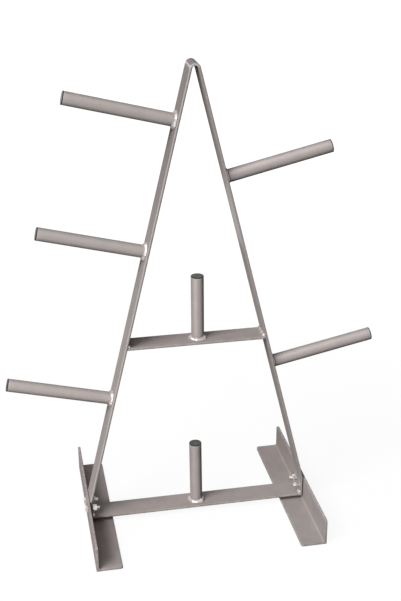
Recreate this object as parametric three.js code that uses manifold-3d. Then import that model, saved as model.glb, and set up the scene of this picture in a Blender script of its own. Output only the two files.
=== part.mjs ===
import * as THREE from 'three';
import { mergeVertices } from 'three/addons/utils/BufferGeometryUtils.js';
import Module from 'manifold-3d';

// A plate tree: an A-shaped rack for weight plates, in millimetres.
// X runs from the left foot to the right foot, Y from front to back, Z up. The tree is laid out
// about the middle of the A, and is then moved as a whole, so that the origin is the middle of the
// space it fills, on the floor.

const wasm = await Module();
wasm.setup();

// Driving dimensions of the frame
const frameHeight = 941.5;
const baseWidth = 463;
const barWidth = 50;
const barThickness = 5;
const apexBendRadius = 10.5;
const ankleBendRadius = 13;
const ankleBelowFlangeTop = 1;
const ankleRootClearance = 2.5;
const middleCrossbarHeight = 395.5;

// Driving dimensions of the angle-iron feet
const footLength = 386;
const footSetBack = 10;
const flangeHeight = 55;
const flangeWidth = 52;
const flangeThickness = 5;
const flangeRootRadius = 6;
const flangeToeRadius = 2;
const flangeCornerRadius = 5;

// Driving dimensions of the pegs and their end caps
const pegDiameter = 25.4;
const pegWall = 2;
const sidePegLength = 207;
const middleUprightLength = 130;
const lowerUprightLength = 135;
const pegMouthChamfer = 0.4;
const capDiameter = 25.6;
const capThickness = 1.6;
const capEdgeRadius = 0.8;
const capFaceRim = 1.5;
const capDishDepth = 0.4;
const capPlugLength = 14;
const capPlugWall = 1.8;

// The side pegs: how high up the frame their axes meet the legs, and their droop from square, in
// degrees
const sidePegs = [
  { name: 'left_upper', side: -1, heightShare: 0.887, droop: -0.3 },
  { name: 'left_middle', side: -1, heightShare: 0.621, droop: -0.3 },
  { name: 'left_lower', side: -1, heightShare: 0.295, droop: -0.3 },
  { name: 'right_upper', side: 1, heightShare: 0.768, droop: 0.5 },
  { name: 'right_lower', side: 1, heightShare: 0.349, droop: 2 },
];

// Where the upright pegs' axes stand from the middle of the crossbars, and their lean from the
// vertical, in degrees
const middleUprightOffset = 5;
const middleUprightLean = 0;
const lowerUprightOffset = -0.5;
const lowerUprightLean = -0.5;

// Driving dimensions of the welds
const pegWeldLeg = 5.5;
const crossbarWeldLeg = 5;
const crossbarWeldInset = 2;
const weldBulgeShare = 0.78;

// Driving dimensions of the bolts that hold the ankles to the feet
const boltEdgeDistance = 10;
const boltDiameter = 8;
const boltHeadHeight = 5.3;
const boltPastNut = 5.7;
const boltEndChamfer = 1;
const boltHoleClearance = 1;
const hexAcrossFlats = 13;
const hexChamferDepth = 0.7;
const nutHeight = 6.5;
const washerDiameter = 16;
const washerThickness = 1.6;

// Clearances: between pieces that bear on each other, and past both ends of a cut
const seatGap = 0.3;
const cutOverrun = 2;

// Facets round a full circle, and along one rounded corner
const roundFacets = 24;
const cornerFacets = 4;
const hexSides = 6;

const QUARTER_TURN = Math.PI / 2;

const paint = { color: 0x968c89, roughness: 0.42, metalness: 0.1 };
const blackPlastic = { color: 0x2d2c2a, roughness: 0.5, metalness: 0 };
const zinc = { color: 0xc4c2bd, roughness: 0.3, metalness: 1 };

// Where the pieces meet
const footOuterX = baseWidth / 2;
const ankleOuterX = footOuterX - flangeThickness - seatGap;
const ankleInnerX = ankleOuterX - barThickness;
const ankleTopZ = flangeHeight - ankleBelowFlangeTop;
const ankleBottomZ = flangeThickness + flangeRootRadius + ankleRootClearance;
const boltHeight = (ankleBottomZ + ankleTopZ) / 2;
const boltY = barWidth / 2 - boltEdgeDistance;
const lowerCrossbarTopZ = ankleBottomZ + barThickness;
const pegRadius = pegDiameter / 2;
const pegBore = pegRadius - pegWall;

// Along each bolt, inwards from the foot's outer face
const washerSeat = flangeThickness + barThickness + 2 * seatGap;
const nutSeat = washerSeat + washerThickness + seatGap;
const boltLength = seatGap + nutSeat + nutHeight + boltPastNut;

const uprightPegs = [
  {
    name: 'upright_middle',
    standsAt: middleCrossbarHeight,
    offset: middleUprightOffset,
    length: middleUprightLength,
    lean: middleUprightLean,
  },
  {
    name: 'upright_lower',
    standsAt: lowerCrossbarTopZ,
    offset: lowerUprightOffset,
    length: lowerUprightLength,
    lean: lowerUprightLean,
  },
];

// The legs' outer faces are tangent to the bend at the apex, and meet the upright ankles at
// ankleTopZ. That settles their tilt from the vertical.
const apexCentreZ = frameHeight - apexBendRadius;
const ankleToApexCentre = Math.hypot(ankleOuterX, apexCentreZ - ankleTopZ);
const lineTilt = Math.atan2(ankleOuterX, apexCentreZ - ankleTopZ);
const legTilt = lineTilt - Math.asin(apexBendRadius / ankleToApexCentre);

function legOuterX(z) {
  return ankleOuterX - (z - ankleTopZ) * Math.tan(legTilt);
}

// The inner face of the bent bar at a height: the upright ankle below, the tilted leg above.
function innerFaceX(z) {
  return Math.min(ankleInnerX, legOuterX(z) - barThickness / Math.cos(legTilt));
}

function innerFaceTilt(z) {
  return innerFaceX(z) < ankleInnerX ? legTilt : 0;
}

function solidOf(geometry) {
  const bare = geometry.index ? geometry.toNonIndexed() : geometry.clone();
  bare.deleteAttribute('normal');
  bare.deleteAttribute('uv');
  const merged = mergeVertices(bare);
  const vertProperties = new Float32Array(merged.attributes.position.array);
  const triVerts = new Uint32Array(merged.index.array);
  return new wasm.Manifold(new wasm.Mesh({ numProp: 3, vertProperties, triVerts }));
}

function geometryOf(solid) {
  const mesh = solid.getMesh();
  const geometry = new THREE.BufferGeometry();
  geometry.setAttribute('position', new THREE.BufferAttribute(mesh.vertProperties, 3));
  geometry.setIndex(new THREE.BufferAttribute(mesh.triVerts, 1));
  geometry.computeVertexNormals();
  return geometry;
}

// An outline in X and Z, drawn out along Y, with its middle at Y = 0.
function alongY(outline, length) {
  const settings = { depth: length, bevelEnabled: false, curveSegments: cornerFacets };
  const geometry = new THREE.ExtrudeGeometry(outline, settings);
  geometry.translate(0, 0, -length / 2);
  geometry.rotateX(QUARTER_TURN);
  return geometry;
}

// A profile of [radius, height] points turned round Z. It runs up its outside and down its inside.
function turned(profile) {
  const points = profile.map(([radius, height]) => new THREE.Vector2(radius, height));
  const geometry = new THREE.LatheGeometry(points, roundFacets);
  geometry.rotateX(QUARTER_TURN);
  return geometry;
}

function meshOf(name, geometry, finish) {
  const mesh = new THREE.Mesh(geometry, new THREE.MeshStandardMaterial(finish));
  mesh.name = name;
  return mesh;
}

// Round holes for the bolts, through an upright wall that lies around x.
function cutBoltHoles(solid, x, wall) {
  let cut = solid;
  for (const y of [-boltY, boltY]) {
    const radius = (boltDiameter + boltHoleClearance) / 2;
    const hole = new THREE.CylinderGeometry(radius, radius, wall + 2 * cutOverrun, roundFacets);
    hole.rotateZ(QUARTER_TURN);
    hole.translate(x, y, boltHeight);
    cut = cut.subtract(solidOf(hole));
  }
  return cut;
}

// The bent bar: up the right ankle, round the apex, down the left ankle, and back inside.
function aFrameBar() {
  const ankleInnerRadius = ankleBendRadius - barThickness;
  const apexInnerRadius = apexBendRadius - barThickness;
  const ankleCentreX = ankleOuterX - ankleBendRadius;
  const ankleCentreZ = ankleTopZ - ankleBendRadius * Math.tan(legTilt / 2);
  const leftTilt = Math.PI - legTilt;
  const outline = new THREE.Shape();
  outline.moveTo(ankleInnerX, ankleBottomZ);
  outline.lineTo(ankleOuterX, ankleBottomZ);
  outline.absarc(ankleCentreX, ankleCentreZ, ankleBendRadius, 0, legTilt, false);
  outline.absarc(0, apexCentreZ, apexBendRadius, legTilt, leftTilt, false);
  outline.absarc(-ankleCentreX, ankleCentreZ, ankleBendRadius, leftTilt, Math.PI, false);
  outline.lineTo(-ankleOuterX, ankleBottomZ);
  outline.lineTo(-ankleInnerX, ankleBottomZ);
  outline.absarc(-ankleCentreX, ankleCentreZ, ankleInnerRadius, Math.PI, leftTilt, true);
  outline.absarc(0, apexCentreZ, apexInnerRadius, leftTilt, legTilt, true);
  outline.absarc(ankleCentreX, ankleCentreZ, ankleInnerRadius, legTilt, 0, true);
  outline.closePath();
  const middleX = (ankleOuterX + ankleInnerX) / 2;
  let bar = solidOf(alongY(outline, barWidth));
  bar = cutBoltHoles(bar, middleX, barThickness);
  bar = cutBoltHoles(bar, -middleX, barThickness);
  return meshOf('a_frame_bar', geometryOf(bar), paint);
}

// A flat bar that lies across between the legs, its ends cut to their slope.
function crossbar(name, topZ) {
  const bottomZ = topZ - barThickness;
  const topX = innerFaceX(topZ) - seatGap;
  const bottomX = innerFaceX(bottomZ) - seatGap;
  const outline = new THREE.Shape();
  outline.moveTo(-bottomX, bottomZ);
  outline.lineTo(bottomX, bottomZ);
  outline.lineTo(topX, topZ);
  outline.lineTo(-topX, topZ);
  outline.closePath();
  return meshOf(name, alongY(outline, barWidth), paint);
}

// A weld bead in the corner above a crossbar's end, its face bulging outwards.
function crossbarWeld(name, side, topZ) {
  const tilt = innerFaceTilt(topZ);
  const cornerZ = topZ + seatGap;
  const cornerX = innerFaceX(cornerZ) - seatGap / Math.cos(tilt);
  const climbX = -crossbarWeldLeg * Math.sin(tilt);
  const climbZ = crossbarWeldLeg * Math.cos(tilt);
  const bulgeX = cornerX + weldBulgeShare * (climbX - crossbarWeldLeg);
  const bulgeZ = cornerZ + weldBulgeShare * climbZ;
  const outline = new THREE.Shape();
  outline.moveTo(cornerX, cornerZ);
  outline.lineTo(cornerX + climbX, cornerZ + climbZ);
  outline.quadraticCurveTo(bulgeX, bulgeZ, cornerX - crossbarWeldLeg, cornerZ);
  outline.closePath();
  const geometry = alongY(outline, barWidth - 2 * crossbarWeldInset);
  if (side < 0) {
    geometry.rotateZ(Math.PI);
  }
  return meshOf(name, geometry, paint);
}

// The angle iron's section, for the left foot: an upright flange outside, a flat one inwards.
function angleSection() {
  const outerX = -footOuterX;
  const rootX = outerX + flangeThickness + flangeRootRadius;
  const rootZ = flangeThickness + flangeRootRadius;
  const toeX = outerX + flangeWidth - flangeToeRadius;
  const toeZ = flangeThickness - flangeToeRadius;
  const rimX = outerX + flangeThickness - flangeToeRadius;
  const rimZ = flangeHeight - flangeToeRadius;
  const section = new THREE.Shape();
  section.moveTo(outerX, 0);
  section.lineTo(outerX + flangeWidth, 0);
  section.absarc(toeX, toeZ, flangeToeRadius, 0, QUARTER_TURN, false);
  section.absarc(rootX, rootZ, flangeRootRadius, -QUARTER_TURN, -Math.PI, true);
  section.absarc(rimX, rimZ, flangeToeRadius, 0, QUARTER_TURN, false);
  section.lineTo(outerX, flangeHeight);
  section.closePath();
  return section;
}

// A rectangle as long as the foot, from just behind its heel to a flange's reach, with its two far
// corners rounded. It trims the ends of that flange.
function roundedEnds(reach) {
  const half = footLength / 2;
  const radius = flangeCornerRadius;
  const outline = new THREE.Shape();
  outline.moveTo(-cutOverrun, half);
  outline.lineTo(-cutOverrun, -half);
  outline.absarc(reach - radius, radius - half, radius, -QUARTER_TURN, 0, false);
  outline.absarc(reach - radius, half - radius, radius, 0, QUARTER_TURN, false);
  outline.closePath();
  return outline;
}

function foot(name, side) {
  const iron = solidOf(alongY(angleSection(), footLength));

  const planDepth = flangeHeight + 2 * cutOverrun;
  const planSettings = { depth: planDepth, bevelEnabled: false, curveSegments: cornerFacets };
  const plan = new THREE.ExtrudeGeometry(roundedEnds(flangeWidth), planSettings);
  plan.translate(-footOuterX, 0, -cutOverrun);

  const sideDepth = flangeWidth + 2 * cutOverrun;
  const sideSettings = { depth: sideDepth, bevelEnabled: false, curveSegments: cornerFacets };
  const sideView = new THREE.ExtrudeGeometry(roundedEnds(flangeHeight), sideSettings);
  sideView.rotateY(-QUARTER_TURN);
  sideView.translate(-footOuterX + flangeWidth + cutOverrun, 0, 0);

  const trimmed = geometryOf(iron.intersect(solidOf(plan)).intersect(solidOf(sideView)));
  if (side > 0) {
    trimmed.rotateZ(Math.PI);
  }
  trimmed.translate(0, footSetBack, 0);
  const wallX = side * (footOuterX - flangeThickness / 2);
  const drilled = cutBoltHoles(solidOf(trimmed), wallX, flangeThickness);
  return meshOf(name, geometryOf(drilled), paint);
}

// A tube that leans about Y, its foot cut flat to stand just clear of the plane Z = 0.
function pegTube(name, length, lean) {
  const edge = pegMouthChamfer;
  const tube = turned([
    [pegBore, -cutOverrun],
    [pegRadius, -cutOverrun],
    [pegRadius, length - edge],
    [pegRadius - edge, length],
    [pegBore, length],
    [pegBore, -cutOverrun],
  ]);
  tube.rotateY(lean);
  const cutDepth = 2 * cutOverrun;
  const belowSeat = new THREE.BoxGeometry(2 * pegDiameter, 2 * pegDiameter, cutDepth);
  belowSeat.translate(0, 0, seatGap - cutDepth / 2);
  return meshOf(name, geometryOf(solidOf(tube).subtract(solidOf(belowSeat))), paint);
}

// A cap with a shallow dish in its face, and a hollow plug that reaches into the tube.
function endCap(name, mouthZ) {
  const headRadius = capDiameter / 2;
  const plugRadius = pegBore - seatGap;
  const plugBore = plugRadius - capPlugWall;
  const profile = [
    [0, seatGap],
    [plugBore, seatGap],
    [plugBore, -capPlugLength],
    [plugRadius, -capPlugLength],
    [plugRadius, seatGap],
    [headRadius, seatGap],
  ];
  const faceZ = seatGap + capThickness;
  for (let step = 0; step <= cornerFacets; step += 1) {
    const angle = QUARTER_TURN * step / cornerFacets;
    const radius = headRadius - capEdgeRadius * (1 - Math.cos(angle));
    profile.push([radius, faceZ - capEdgeRadius * (1 - Math.sin(angle))]);
  }
  profile.push([headRadius - capEdgeRadius - capFaceRim, faceZ]);
  profile.push([0, faceZ - capDishDepth]);
  const cap = turned(profile);
  cap.translate(0, 0, mouthZ);
  return meshOf(name, cap, blackPlastic);
}

// A weld bead round the foot of a peg, its face bulging outwards.
function pegWeld(name) {
  const inner = pegRadius + seatGap;
  const outer = inner + pegWeldLeg;
  const bulge = weldBulgeShare * pegWeldLeg;
  const corner = new THREE.Vector2(inner + bulge, bulge);
  const toe = new THREE.Vector2(outer, 0);
  const top = new THREE.Vector2(inner, pegWeldLeg);
  const face = new THREE.QuadraticBezierCurve(toe, corner, top).getPoints(cornerFacets);
  const profile = [[inner, 0], ...face.map((point) => [point.x, point.y]), [inner, 0]];
  const bead = turned(profile);
  bead.translate(0, 0, seatGap);
  return meshOf(name, bead, paint);
}

// One peg with its weld and cap, standing on the plane Z = 0 of its own group. The weld lies flat
// on that plane, and the peg leans from square to it by a degree or two.
function pegSet(name, length, leanDegrees) {
  const lean = THREE.MathUtils.degToRad(leanDegrees);
  const cap = endCap(`cap_${name}`, length);
  cap.rotation.y = lean;
  const set = new THREE.Group();
  set.add(pegTube(`peg_${name}`, length, lean), cap, pegWeld(`weld_${name}`));
  return set;
}

function hexPrism(height) {
  const cornerRadius = hexAcrossFlats / 2 / Math.cos(Math.PI / hexSides);
  const prism = new THREE.CylinderGeometry(cornerRadius, cornerRadius, height, hexSides);
  prism.rotateX(QUARTER_TURN);
  prism.translate(0, 0, height / 2);
  return solidOf(prism);
}

// A round blank with its rims chamfered down to the flats, which takes the corners off a hexagon.
function chamferBlank(height, lowerRim, upperRim) {
  const flat = hexAcrossFlats / 2;
  const corner = flat / Math.cos(Math.PI / hexSides) + seatGap;
  const profile = [[0, 0]];
  if (lowerRim) {
    profile.push([flat, 0], [corner, hexChamferDepth]);
  } else {
    profile.push([corner, 0]);
  }
  if (upperRim) {
    profile.push([corner, height - hexChamferDepth], [flat, height]);
  } else {
    profile.push([corner, height]);
  }
  profile.push([0, height]);
  return solidOf(turned(profile));
}

// A hex bolt, its shank pointing along +Z from the seat under its head at Z = 0.
function bolt(name) {
  const shankRadius = boltDiameter / 2;
  const shank = turned([
    [0, -boltHeadHeight / 2],
    [shankRadius, -boltHeadHeight / 2],
    [shankRadius, boltLength - boltEndChamfer],
    [shankRadius - boltEndChamfer, boltLength],
    [0, boltLength],
  ]);
  const blank = chamferBlank(boltHeadHeight, true, false);
  const head = geometryOf(hexPrism(boltHeadHeight).intersect(blank));
  head.translate(0, 0, -boltHeadHeight);
  return meshOf(name, geometryOf(solidOf(head).add(solidOf(shank))), zinc);
}

function washer(name, seatZ) {
  const outer = washerDiameter / 2;
  const inner = boltDiameter / 2 + seatGap;
  const ring = turned([
    [inner, 0],
    [outer, 0],
    [outer, washerThickness],
    [inner, washerThickness],
    [inner, 0],
  ]);
  ring.translate(0, 0, seatZ);
  return meshOf(name, ring, zinc);
}

function nut(name, seatZ) {
  const boreRadius = boltDiameter / 2 + seatGap;
  const boreDepth = nutHeight + 2 * cutOverrun;
  const bore = new THREE.CylinderGeometry(boreRadius, boreRadius, boreDepth, roundFacets);
  bore.rotateX(QUARTER_TURN);
  bore.translate(0, 0, nutHeight / 2);
  const body = hexPrism(nutHeight).intersect(chamferBlank(nutHeight, true, true));
  const geometry = geometryOf(body.subtract(solidOf(bore)));
  geometry.translate(0, 0, seatZ);
  return meshOf(name, geometry, zinc);
}

// One bolt with its washer and nut, its group's +Z pointing inwards from the foot's outer face.
function boltSet(name) {
  const fastener = bolt(`bolt_${name}`);
  fastener.position.z = -seatGap;
  const set = new THREE.Group();
  set.add(fastener, washer(`washer_${name}`, washerSeat), nut(`nut_${name}`, nutSeat));
  return set;
}

const tree = new THREE.Group();
tree.add(aFrameBar());
tree.add(crossbar('middle_crossbar', middleCrossbarHeight));
tree.add(crossbar('lower_crossbar', lowerCrossbarTopZ));
tree.add(foot('foot_left', -1), foot('foot_right', 1));

for (const peg of sidePegs) {
  const height = peg.heightShare * frameHeight;
  const set = pegSet(peg.name, sidePegLength, peg.side * peg.droop);
  set.position.set(peg.side * legOuterX(height), 0, height);
  set.rotation.y = peg.side * (QUARTER_TURN - legTilt);
  tree.add(set);
}

for (const peg of uprightPegs) {
  const set = pegSet(peg.name, peg.length, peg.lean);
  set.position.set(peg.offset, 0, peg.standsAt);
  tree.add(set);
}

for (const [sideName, side] of [['left', -1], ['right', 1]]) {
  tree.add(crossbarWeld(`weld_middle_crossbar_${sideName}`, side, middleCrossbarHeight));
  tree.add(crossbarWeld(`weld_lower_crossbar_${sideName}`, side, lowerCrossbarTopZ));
  for (const [endName, end] of [['front', -1], ['back', 1]]) {
    const set = boltSet(`${sideName}_${endName}`);
    set.position.set(side * footOuterX, end * boltY, boltHeight);
    set.rotation.y = -side * QUARTER_TURN;
    tree.add(set);
  }
}

// The origin is the middle of the space that the whole tree fills, on the floor.
const plateTree = new THREE.Group();
plateTree.add(tree);
const space = new THREE.Box3().setFromObject(tree, true);
const middle = space.getCenter(new THREE.Vector3());
tree.position.set(-middle.x, -middle.y, -space.min.z);

export default plateTree;
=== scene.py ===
import math

import bmesh
import bpy
import numpy as np
from mathutils import Matrix, Vector


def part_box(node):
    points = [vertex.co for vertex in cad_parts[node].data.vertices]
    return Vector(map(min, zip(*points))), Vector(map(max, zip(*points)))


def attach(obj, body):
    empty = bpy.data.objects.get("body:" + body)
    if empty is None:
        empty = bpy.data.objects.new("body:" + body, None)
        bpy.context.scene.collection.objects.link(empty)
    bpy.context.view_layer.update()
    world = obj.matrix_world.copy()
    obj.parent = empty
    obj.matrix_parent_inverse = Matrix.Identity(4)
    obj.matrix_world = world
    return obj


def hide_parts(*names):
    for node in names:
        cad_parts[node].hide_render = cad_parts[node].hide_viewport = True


# The looks of a plate tree: an A-shaped rack of painted flat bar on angle-iron feet, with seven
# tube pegs. X runs from the left foot to the right foot, Y from front to back, Z up, in metres.
# Shapes are worked out round the A's middle, and make_piece moves them to their place.

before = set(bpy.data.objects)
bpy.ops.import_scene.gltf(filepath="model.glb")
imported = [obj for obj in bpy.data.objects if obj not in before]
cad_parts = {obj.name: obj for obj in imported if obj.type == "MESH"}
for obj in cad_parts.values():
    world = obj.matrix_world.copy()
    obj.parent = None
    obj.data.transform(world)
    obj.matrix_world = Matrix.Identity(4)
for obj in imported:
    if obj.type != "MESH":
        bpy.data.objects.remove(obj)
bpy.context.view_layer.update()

MM = 0.001
QUARTER_TURN = math.pi / 2
FULL_TURN = 2 * math.pi
ROOT = "root"

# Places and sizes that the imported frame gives
bar_low, bar_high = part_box("a_frame_bar")
crossbar_low, crossbar_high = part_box("middle_crossbar")
lower_bar_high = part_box("lower_crossbar")[1]
foot_low, foot_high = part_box("foot_left")
middle_x = (bar_low.x + bar_high.x) / 2
middle_y = (bar_low.y + bar_high.y) / 2
frame_top = bar_high.z
ankle_outer = (bar_high.x - bar_low.x) / 2
ankle_bottom = bar_low.z
bar_width = bar_high.y - bar_low.y
bar_thickness = crossbar_high.z - crossbar_low.z
foot_length = foot_high.y - foot_low.y
foot_set_back = (foot_high.y + foot_low.y) / 2 - middle_y
foot_outer = middle_x - foot_low.x
flange_width = foot_high.x - foot_low.x
flange_height = foot_high.z

# Sizes of the bent bar and the angle iron
apex_bend_radius = 10.5 * MM
ankle_bend_radius = 13 * MM
ankle_below_flange_top = 1 * MM
bar_edge_radius = 1.7 * MM
flange_thickness = 5 * MM
flange_root_radius = 4 * MM
flange_toe_radius = 2 * MM
flange_corner_radius = 5 * MM
sawn_edge = 0.5 * MM

# Sizes of the pegs, their caps and their welds
peg_diameter = 25.4 * MM
peg_wall = 2 * MM
side_peg_length = 207 * MM
peg_mouth_edge = 0.5 * MM
cap_diameter = 25.45 * MM
cap_thickness = 1.6 * MM
cap_seat_gap = 0.3 * MM
cap_edge_radius = 0.8 * MM
cap_face_rim = 1.5 * MM
cap_rim_fade = 0.4 * MM
cap_dish_depth = 0.4 * MM
cap_dish_slope = 2.5 * MM
cap_plug_length = 14 * MM
cap_plug_wall = 1.8 * MM
cap_lip = 0.15 * MM
peg_weld_leg = 5.5 * MM
crossbar_weld_inset = 2 * MM
weld_bulge_share = 0.78
weld_sink = 0.3 * MM
weld_end_share = 0.1
weld_end_size = 0.2
ripple_length = 2.3 * MM
ripple_height = 0.18 * MM
ripple_slant = 0.7
ripple_bow = 1.6
ripple_sharpness = 0.7
ripple_toe_fade = 0.7

# The slow waves by which a bead swells round a peg's foot and along a crossbar's end: their share
# of its leg, how many they are, and how many times the bead's own phase shifts them
PEG_WELD_WAVES = [(0.10, 2, 1), (0.09, 5, 2), (0.04, 9, 3)]
CROSSBAR_WELD_WAVES = [(0.08, 3.1, 1), (0.05, 9, 2)]

# The phases of the waves and ripples round the pegs, so that no two beads are alike
side_weld_phase = 1.3
upright_weld_phase = 2.1

# Sizes of the bolts
bolt_edge_distance = 10 * MM
bolt_diameter = 8 * MM
bolt_head_height = 5.3 * MM
bolt_past_nut = 5.7 * MM
bolt_end_chamfer = 1 * MM
thread_pitch = 1.25 * MM
thread_depth = 0.7 * MM
thread_flat = 0.125
hex_across_flats = 13 * MM
hex_crown = 0.95 * hex_across_flats / 2
hex_crown_slope = math.radians(30)
nut_height = 6.5 * MM
nut_bore = bolt_diameter / 2 - 0.1 * MM
nut_mouth = bolt_diameter / 2 + 0.35 * MM
washer_diameter = 16 * MM
washer_bore = bolt_diameter / 2 + 0.2 * MM
washer_thickness = 1.6 * MM
washer_edge = 0.3 * MM
seat_gap = 0.3 * MM

# How far the bolts' heads are turned, in radians, by their side and by their end, and how far the
# nuts are turned for each radian of their bolts
side_turn = 0.35
end_turn = 0.6
nut_turns = 2.1

# How far inside the arcs of a flat bar's section its points near them lie
FLAT_ROWS = [1.2 * MM, 4 * MM]

# How many steps go round a tube, a weld ring, a bolt or nut, and a washer, how many go along a
# thread and a straight bead, and how many across a bead's face
tube_steps = 72
weld_ring_steps = 320
hex_steps = 96
washer_steps = 64
thread_steps = 64
bead_steps = 161
bead_face_steps = 15

# The angles between two faces from which their edge is sharp, and how near two points are one
sharp_angle = math.radians(38)
weld_sharp_angle = math.radians(70)
hex_sharp_angle = math.radians(25)
same_point = 0.001 * MM

# How far wear reaches in from the edges of the bars, where it also paints a highlight, the tubes'
# mouths, the caps and the fasteners
wear_reach = 2.5 * MM
tube_wear_reach = 10 * MM
cap_wear_reach = 0.6 * MM
fastener_wear_reach = 0.8 * MM

# How worn the bent bar's outer and inner corners are, where the outer ones also take a painted
# highlight, how bright the painted highlights on its crease and bend front are, and the level at
# which pale primer, which also paints these highlights, starts to show and is all that shows
outer_corner_wear_and_highlight = 2.0
inner_corner_wear = 0.5
crease_highlight = 2.6
bend_front_highlight = 2.4
primer_and_highlight_from = 1.6
primer_and_highlight_full = 2.4

# The upward share of the outward normal from which the apex bend's front edge takes its painted
# highlight, and the rise to its full strength
bend_front_from = 0.25
bend_front_rise = 0.3

# How far in from a broad face of the bent bar, and from its front edge, their own looks fade out
face_fade = 0.6 * bar_edge_radius
front_fade = 0.5 * bar_edge_radius

# The painted shade in the gap on each ankle's front edge, along its foot
gap_shade_width = 3.2 * MM
gap_shade_fade = 0.5 * MM
gap_shade_from_front = 1.5 * MM

# The crown of the apex bend, painted dark with shade, and the crease on its left, which takes a
# painted highlight. A turn is that of the outward normal from level on the right
crown_turn = math.radians(102)
crown_reach = math.radians(34)
crown_fade = math.radians(12)
crown_shade = 0.34
crease_turn = math.radians(150)
crease_edge = 0.7 * MM
crease_fade = 3.5 * MM

# The heights between which painted shade darkens the left leg's outer face, growing towards the top
left_shade_from = 400 * MM
left_shade_full = 770 * MM
left_shade_dark = 0.38

# The height at which a painted sheen is palest on the right leg's inner face, and how far it fades
# out above it and below it
sheen_height = 625 * MM
sheen_fade_up = 110 * MM
sheen_fade_down = 42 * MM
sheen_strength = 0.53

# How much painted shade a peg's bead takes for each share by which it is slimmer underneath
slim_weld_shade = 0.9

# How much of the paint's colour its clouds and its pigment's speckle take, and how much fine grain
# stands on its orange peel
cloud_share = 0.22
pigment_share = 0.18
grain_share = 0.15

# What drawn tube does to the paint on it: its share of the bars' roughness, and its shine
tube_rough_share = 0.92
tube_gloss = 0.95

# How far the paint turns away from the eye, from 0 to 1, as its shine fades out
shine_fade = (0.10, 0.55)

# Paints and platings, as red, green, blue and alpha
PAINT = (0.412, 0.354, 0.343, 1)
PAINT_DRIFT = (0.388, 0.346, 0.330, 1)
WELD_PAINT = (0.470, 0.412, 0.400, 1)
WELD_PAINT_DRIFT = (0.445, 0.398, 0.382, 1)
PAINT_CLOUD = (0.20, 0.185, 0.18, 1)
PAINT_SPECKLE = (0.62, 0.58, 0.56, 1)
# Rubbed paint, whose lighter tone along the bars' edges is partly a painted highlight; a pale
# primer, which also paints the brightest highlights and the sheen; and the colour of painted shade
RUBBED_PAINT_AND_HIGHLIGHT = (0.50, 0.46, 0.445, 1)
PRIMER_AND_HIGHLIGHT = (0.80, 0.765, 0.745, 1)
PAINTED_SHADE_COLOUR = (0.085, 0.072, 0.068, 1)
PAINT_SHINE = (1.0, 0.91, 0.885, 1)
CAP_FACE = (0.082, 0.080, 0.074, 1)
CAP_DUST = (0.108, 0.105, 0.098, 1)
# The caps' rim, painted dark with shade
CAP_RIM_SHADE = (0.030, 0.029, 0.027, 1)
CAP_SCUFF = (0.11, 0.107, 0.10, 1)
ZINC = (0.68, 0.655, 0.645, 1)
ZINC_SPANGLE = (0.73, 0.70, 0.685, 1)
ZINC_BRIGHT = (0.80, 0.77, 0.75, 1)

# The two sides of the A, and its crossbars: the height of their tops, and the leg and the phase of
# their weld beads
SIDES = [("left", -1), ("right", 1)]
CROSSBARS = [
    ("middle", crossbar_high.z, 6 * MM, 0.8),
    ("lower", lower_bar_high.z, 5 * MM, 2.2),
]

# The side pegs: their leg, the share of the frame's height at which their axes meet it, their
# degrees of droop from square, and the share by which their weld is slimmer underneath
SIDE_PEGS = [
    ("left_upper", -1, 0.887, -0.3, 0.0),
    ("left_middle", -1, 0.621, -0.3, 0.0),
    ("left_lower", -1, 0.295, -0.3, 0.0),
    ("right_upper", 1, 0.768, 0.5, 0.45),
    ("right_lower", 1, 0.349, 2.0, 0.7),
]

# The upright pegs: the height that they stand at, their place along the crossbar, their length,
# and their degrees of lean from the vertical
UPRIGHT_PEGS = [
    ("upright_middle", crossbar_high.z, 5 * MM, 130 * MM, 0.0),
    ("upright_lower", lower_bar_high.z, -0.5 * MM, 135 * MM, -0.5),
]

# The legs' tilt: their outer faces are tangent to the bend at the apex and meet the ankles' tops
ankle_top = flange_height - ankle_below_flange_top
apex_centre = frame_top - apex_bend_radius
leg_line = math.hypot(ankle_outer, apex_centre - ankle_top)
line_tilt = math.atan2(ankle_outer, apex_centre - ankle_top)
leg_tilt = line_tilt - math.asin(apex_bend_radius / leg_line)
crease_height = apex_centre + apex_bend_radius * math.sin(crease_turn)


def leg_outer(z):
    """The distance of a leg's outer face from the A's middle, at a height."""
    return ankle_outer - (z - ankle_top) * math.tan(leg_tilt)


def leg_inner(z):
    """The same for the inner face, upright at the ankle and tilted above it."""
    tilted = leg_outer(z) - bar_thickness / math.cos(leg_tilt)
    return np.minimum(ankle_outer - bar_thickness, tilted)


def grid_quads(rows, columns, wrap_rows=False):
    """The faces of a grid whose columns close into loops, and whose rows may too."""
    index = np.arange(rows * columns).reshape(rows, columns)
    lower = index if wrap_rows else index[:-1]
    upper = np.roll(index, -1, axis=0) if wrap_rows else index[1:]
    corners = [lower, np.roll(lower, -1, axis=1), np.roll(upper, -1, axis=1), upper]
    return np.stack(corners, axis=-1).reshape(-1, 4).tolist()


def end_faces(rows, columns):
    """One flat face over each end of an open grid."""
    first = list(range(columns))
    last = [(rows - 1) * columns + column for column in range(columns)]
    return [first, last]


def paired_end_faces(rows, columns):
    """Quads over both ends of an open grid whose loops run out along one side and back."""
    half = columns // 2
    out = np.arange(half - 1)
    back = columns - 1 - out
    quads = np.stack([out, out + 1, back - 1, back], axis=-1)
    return np.concatenate([quads, quads + (rows - 1) * columns]).tolist()


def add_attribute(mesh, name, values, shape):
    """A number for each point of the mesh's grid, or one for all of them."""
    attribute = mesh.attributes.new(name, "FLOAT", "POINT")
    numbers = np.broadcast_to(np.asarray(values, dtype=np.float32), shape)
    attribute.data.foreach_set("value", np.ascontiguousarray(numbers).ravel())


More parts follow.
